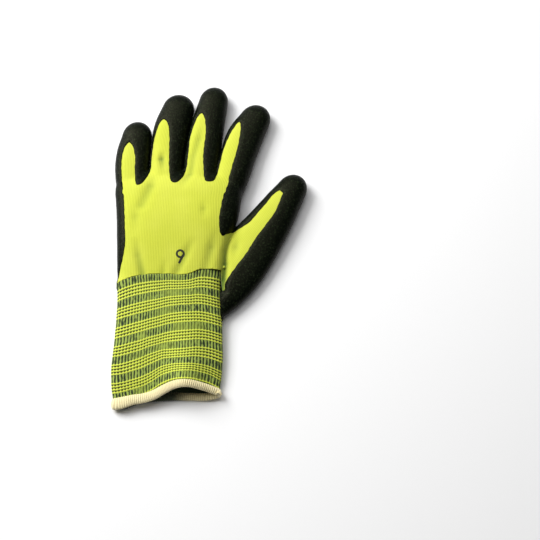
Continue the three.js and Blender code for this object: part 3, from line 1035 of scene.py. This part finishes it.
def cuff_finish():
    """Bands by courses: yellow courses, painted darker off the ribs' crests as shade, with a dark hole
    between each two ribs, then plain rib with a fine dark streak between each two ribs. Both are
    darkest where the ribs are pulled apart, and at the right side this darkening is also painted shade."""
    material, surface, place, stitch = new_finish("striped_rib_knit", 0.85, Sheen_Weight=0.05)
    rib, course, _ = stitch.split()
    x, _, _ = place.split()
    soft = STRETCH_CHANGE * MM
    at_left = 1 - x.band(STRETCH_LEFT * MM - soft, STRETCH_LEFT * MM + soft)
    # Painted shade: the right side's darker gaps stand for the shade on the side turned from the light.
    right_stretch_and_shade = x.band(STRETCH_SHADE_RIGHT * MM - soft, STRETCH_SHADE_RIGHT * MM + soft)
    stretch_and_shade = at_left + right_stretch_and_shade
    wobble = place.noise(700.0, 2.0) - 0.5
    upright = rib.wave()
    phase = (course - BAND_START + BAND * 4).math("MODULO", BAND)
    phase = phase + upright * 0.16 - 0.08
    yellow = phase.band(0.0, 0.14) * (1 - phase.band(YELLOW_COURSES - 0.1, YELLOW_COURSES + 0.1))
    bridging = (phase - BRIDGE_AT).wave()
    hole = (stretch_and_shade * 0.8 + wobble).blend(CUFF_HOLE_SHUT, CUFF_HOLE)
    gaps = (upright + wobble * 0.6 - stretch_and_shade * 0.2).band(0.42, 0.82).blend(hole, CUFF_BRIDGE)
    # Painted shade: the yellow courses are darker off the ribs' crests.
    crests = (upright + wobble * 0.8 - stretch_and_shade * 0.1).band(0.0, 0.5)
    courses = crests.blend(CUFF_LOW_SHADE, CUFF_YELLOW)
    knit = (bridging + wobble * 0.5).band(0.42, 0.7).blend(gaps, courses)
    fibre = stitch.scaled((1.7, 0.5, 1.0)).noise(1.0, 3.0)
    thread = upright * 0.7 + (fibre - 0.5) * 2.2 - stretch_and_shade * 0.1
    strips = thread.band(0.06, 0.64).blend(CUFF_DARK, CUFF_SAGE)
    pushed = place.noise(70.0, 1.0).band(0.45, 0.7) * 0.45
    strips = (pushed * (1 - stretch_and_shade)).blend(strips, CUFF_PALE)
    # The inner face is dark green: the knit's dark yarn, and painted shade of the tube's inside.
    outside = 1 - course.band(INSIDE_MARK - 2, INSIDE_MARK - 1)
    connect(surface, "Base Color", outside.blend(CUFF_INSIDE_SHADE, yellow.blend(strips, knit)))
    add_bump(surface, place.noise(1200.0, 3.0) + rib.wave(0.5) * 0.4, 0.2, 0.7)
    return material


knit_cuff.data.materials.append(cuff_finish())
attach(knit_cuff, "root")
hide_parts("knit_cuff")

# The cuff's binding.
# Cream overlock thread sewn over the knit's cut edge all round the mouth. Each stitch wraps the
# edge once, so that it reads as a soft roll with fine slanting wraps.

BINDING_THICKNESS = 3.4
BINDING_OVERLAP = 0.8
WRAPS = 112
WRAP_SAMPLES = 6
WRAP_DEPTH = 0.2
# The mean of a wrap's rise from groove to crest and back.
WRAP_MEAN = 0.6
# How much of a wrap's swell goes into the roll's length.
LENGTH_SWELL = 0.35

# Columns: x, how far the binding reaches past the knit's edge.
BINDING_LENGTH = [(-36, 7.2), (-29, 7.8), (-22, 6.8), (-10, 6.4), (2, 6.0), (12, 5.2), (20, 4.8)]


def binding_roll(around=18):
    """A flat oval carried round the mouth, whose size swells once for every wrap of thread. A wrap
    leans, so that it is one wrap further on when it has gone round the oval."""
    count = WRAPS * WRAP_SAMPLES
    turn = even_turns(count, 1.0)
    rim = cuff_form(turn, 1.0, -CUFF_WALL / 2)
    round_rim = np.roll(rim, -3, axis=0) - np.roll(rim, 3, axis=0)
    round_rim /= np.linalg.norm(round_rim, axis=1)[:, None]
    out = np.array([0, -1.0, 0]) + round_rim * round_rim[:, 1:2]
    out /= np.linalg.norm(out, axis=1)[:, None]
    away = np.cross(round_rim, out)
    share = np.arange(around + 1) / around
    angle = 2 * np.pi * share[None, :-1]
    wrap = np.arange(count + 1) / WRAP_SAMPLES
    swell = 1 + WRAP_DEPTH * (np.abs(np.sin(np.pi * (wrap[:-1, None] + share[None, :-1]))) - WRAP_MEAN)
    reach = smooth_read(BINDING_LENGTH, rim[:, 0], 1)[:, None]
    length = reach + BINDING_OVERLAP
    centre = rim + out * reach / 2
    forward = np.cos(angle) * length / 2 * (1 + (swell - 1) * LENGTH_SWELL)
    thick = np.sin(angle) * (BINDING_THICKNESS / 2) * swell
    points = centre[:, None] + out[:, None] * forward[..., None] + away[:, None] * thick[..., None]
    points[..., 2] = np.maximum(points[..., 2], 0)
    return looped_grid(points, share, wrap)


cuff_binding = add_mapped("overlock_roll", *binding_roll())

CREAM = linear(243, 230, 180)
CREAM_WRAP_SHADE = linear(190, 172, 118)
RIM_SHADOW_GREEN = linear(50, 62, 36)
# The wraps of the palm side that are painted in shadow, a dark green, from the left end to the thumb
# side.
RIM_START = 58
RIM_END = 96


def binding_finish():
    """Soft cream thread with painted shade between the wraps, which show more in some places than
    others, and a painted shadow, dark green, on part of the palm side.
    """
    material, surface, place, stitch = new_finish("cream_overlock_thread", 0.9, Sheen_Weight=0.4)
    around, wrap, _ = stitch.split()
    fuzz = place.noise(900.0, 4.0)
    crest = 1 - (wrap + around).wave()
    x, _, _ = place.split()
    shown = place.noise(90.0, 1.0).band(0.35, 0.65) * 0.45 + x.band(0.0, 25 * MM) * 0.3 + 0.2
    thread = 1 - (1 - (crest * 0.8 + fuzz * 0.4).band(0.2, 0.7)) * shown
    # Painted shadow: the palm side's wraps turn dark green from the left end to the thumb side.
    in_shade = wrap.band(RIM_START, RIM_START + 4) * (1 - wrap.band(RIM_END - 8, RIM_END + 4))
    # Painted shade: the thread is darker down between the wraps.
    cream = thread.blend(CREAM_WRAP_SHADE, CREAM)
    connect(surface, "Base Color", in_shade.blend(cream, RIM_SHADOW_GREEN))
    add_bump(surface, crest * 0.6 + fuzz, 0.35, 0.8)
    return material


cuff_binding.data.materials.append(binding_finish())
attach(cuff_binding, "root")
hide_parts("cuff_binding")

# The floor, the lights and the camera.
# A plain pale floor, a large soft light from the upper left, a wider and weaker one from above
# the fingertips, and a camera 70 degrees above the floor on the cuff's side.

FLOOR_HALF = 3.0
FLOOR_PALE = (0.95, 0.95, 0.95, 1)
floor_mesh = bpy.data.meshes.new("floor")
corners = [(-FLOOR_HALF, -FLOOR_HALF, 0), (FLOOR_HALF, -FLOOR_HALF, 0)]
corners += [(FLOOR_HALF, FLOOR_HALF, 0), (-FLOOR_HALF, FLOOR_HALF, 0)]
floor_mesh.from_pydata(corners, [], [(0, 1, 2, 3)])
floor = bpy.data.objects.new("floor", floor_mesh)
bpy.context.scene.collection.objects.link(floor)
floor_finish, floor_surface, _, _ = new_finish("pale_floor", 0.9)
floor_surface.inputs["Base Color"].default_value = FLOOR_PALE
floor_mesh.materials.append(floor_finish)


LIT_SPOT = Vector((0.02, 0, 0))


def add_light(name, place, size, power_watts):
    """A square area light that is turned to the glove."""
    data = bpy.data.lights.new(name, "AREA")
    data.size = size
    data.energy = power_watts
    lamp = bpy.data.objects.new(name, data)
    bpy.context.scene.collection.objects.link(lamp)
    lamp.location = place
    aim = LIT_SPOT - Vector(place)
    lamp.rotation_euler = aim.to_track_quat("-Z", "Y").to_euler()


add_light("key", (-0.8, 0.6, 0.85), 0.8, 22)
add_light("fill", (-0.1, 0.7, 1.2), 1.4, 12)
world = bpy.data.worlds.new("studio")
world.use_nodes = True
room = world.node_tree.nodes["Background"]
room.inputs["Color"].default_value = (1, 1, 1, 1)
room.inputs["Strength"].default_value = 0.1
bpy.context.scene.world = world
bpy.context.scene.view_settings.view_transform = "Standard"

ELEVATION = np.radians(70)
DISTANCE = 0.675
AIM = Vector((0.07617, -0.0308, 0))
camera_data = bpy.data.cameras.new("camera")
camera_data.lens = 60
camera_data.sensor_width = 36
camera = bpy.data.objects.new("camera", camera_data)
bpy.context.scene.collection.objects.link(camera)
camera.location = AIM + DISTANCE * Vector((0, -np.cos(ELEVATION), np.sin(ELEVATION)))
camera.rotation_euler = (np.pi / 2 - ELEVATION, 0, 0)
bpy.context.scene.camera = camera
